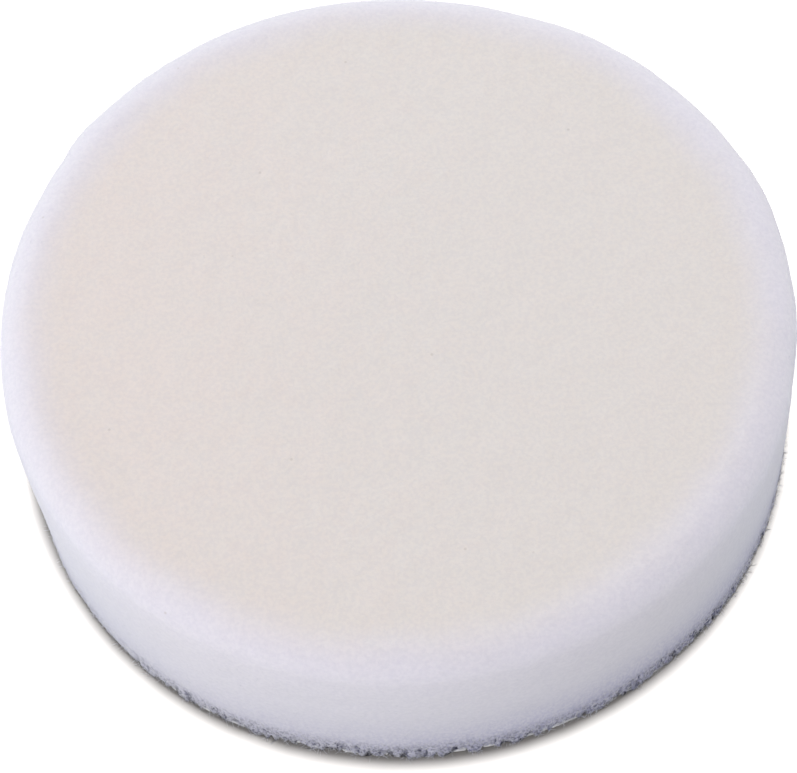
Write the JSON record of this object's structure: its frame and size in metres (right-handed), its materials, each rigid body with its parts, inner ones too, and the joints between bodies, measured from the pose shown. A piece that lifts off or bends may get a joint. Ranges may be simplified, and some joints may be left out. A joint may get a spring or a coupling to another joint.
{
  "type": "felt polishing wheel",
  "caption": "Round white felt polishing disc with a soft rounded rim, bonded to a loop cloth back that grips a hook-faced turning plate.",
  "frame": {"origin": "middle of the underside, where the loops meet the plate", "axes": "+Z along the turning axis, from the loop back towards the working face"},
  "size_m": [0.08, 0.08, 0.0205],
  "materials": {
    "felt": "matt pressed felt",
    "adhesive": "melted adhesive film",
    "backing_cloth": "knitted polyester cloth",
    "loop_pile": "brushed nylon loops"
  },
  "bodies": {
    "root": {"felt_disc": "felt", "adhesive_film": "adhesive", "backing_cloth": "backing_cloth", "loop_pile": "loop_pile"}
  },
  "joints": []
}
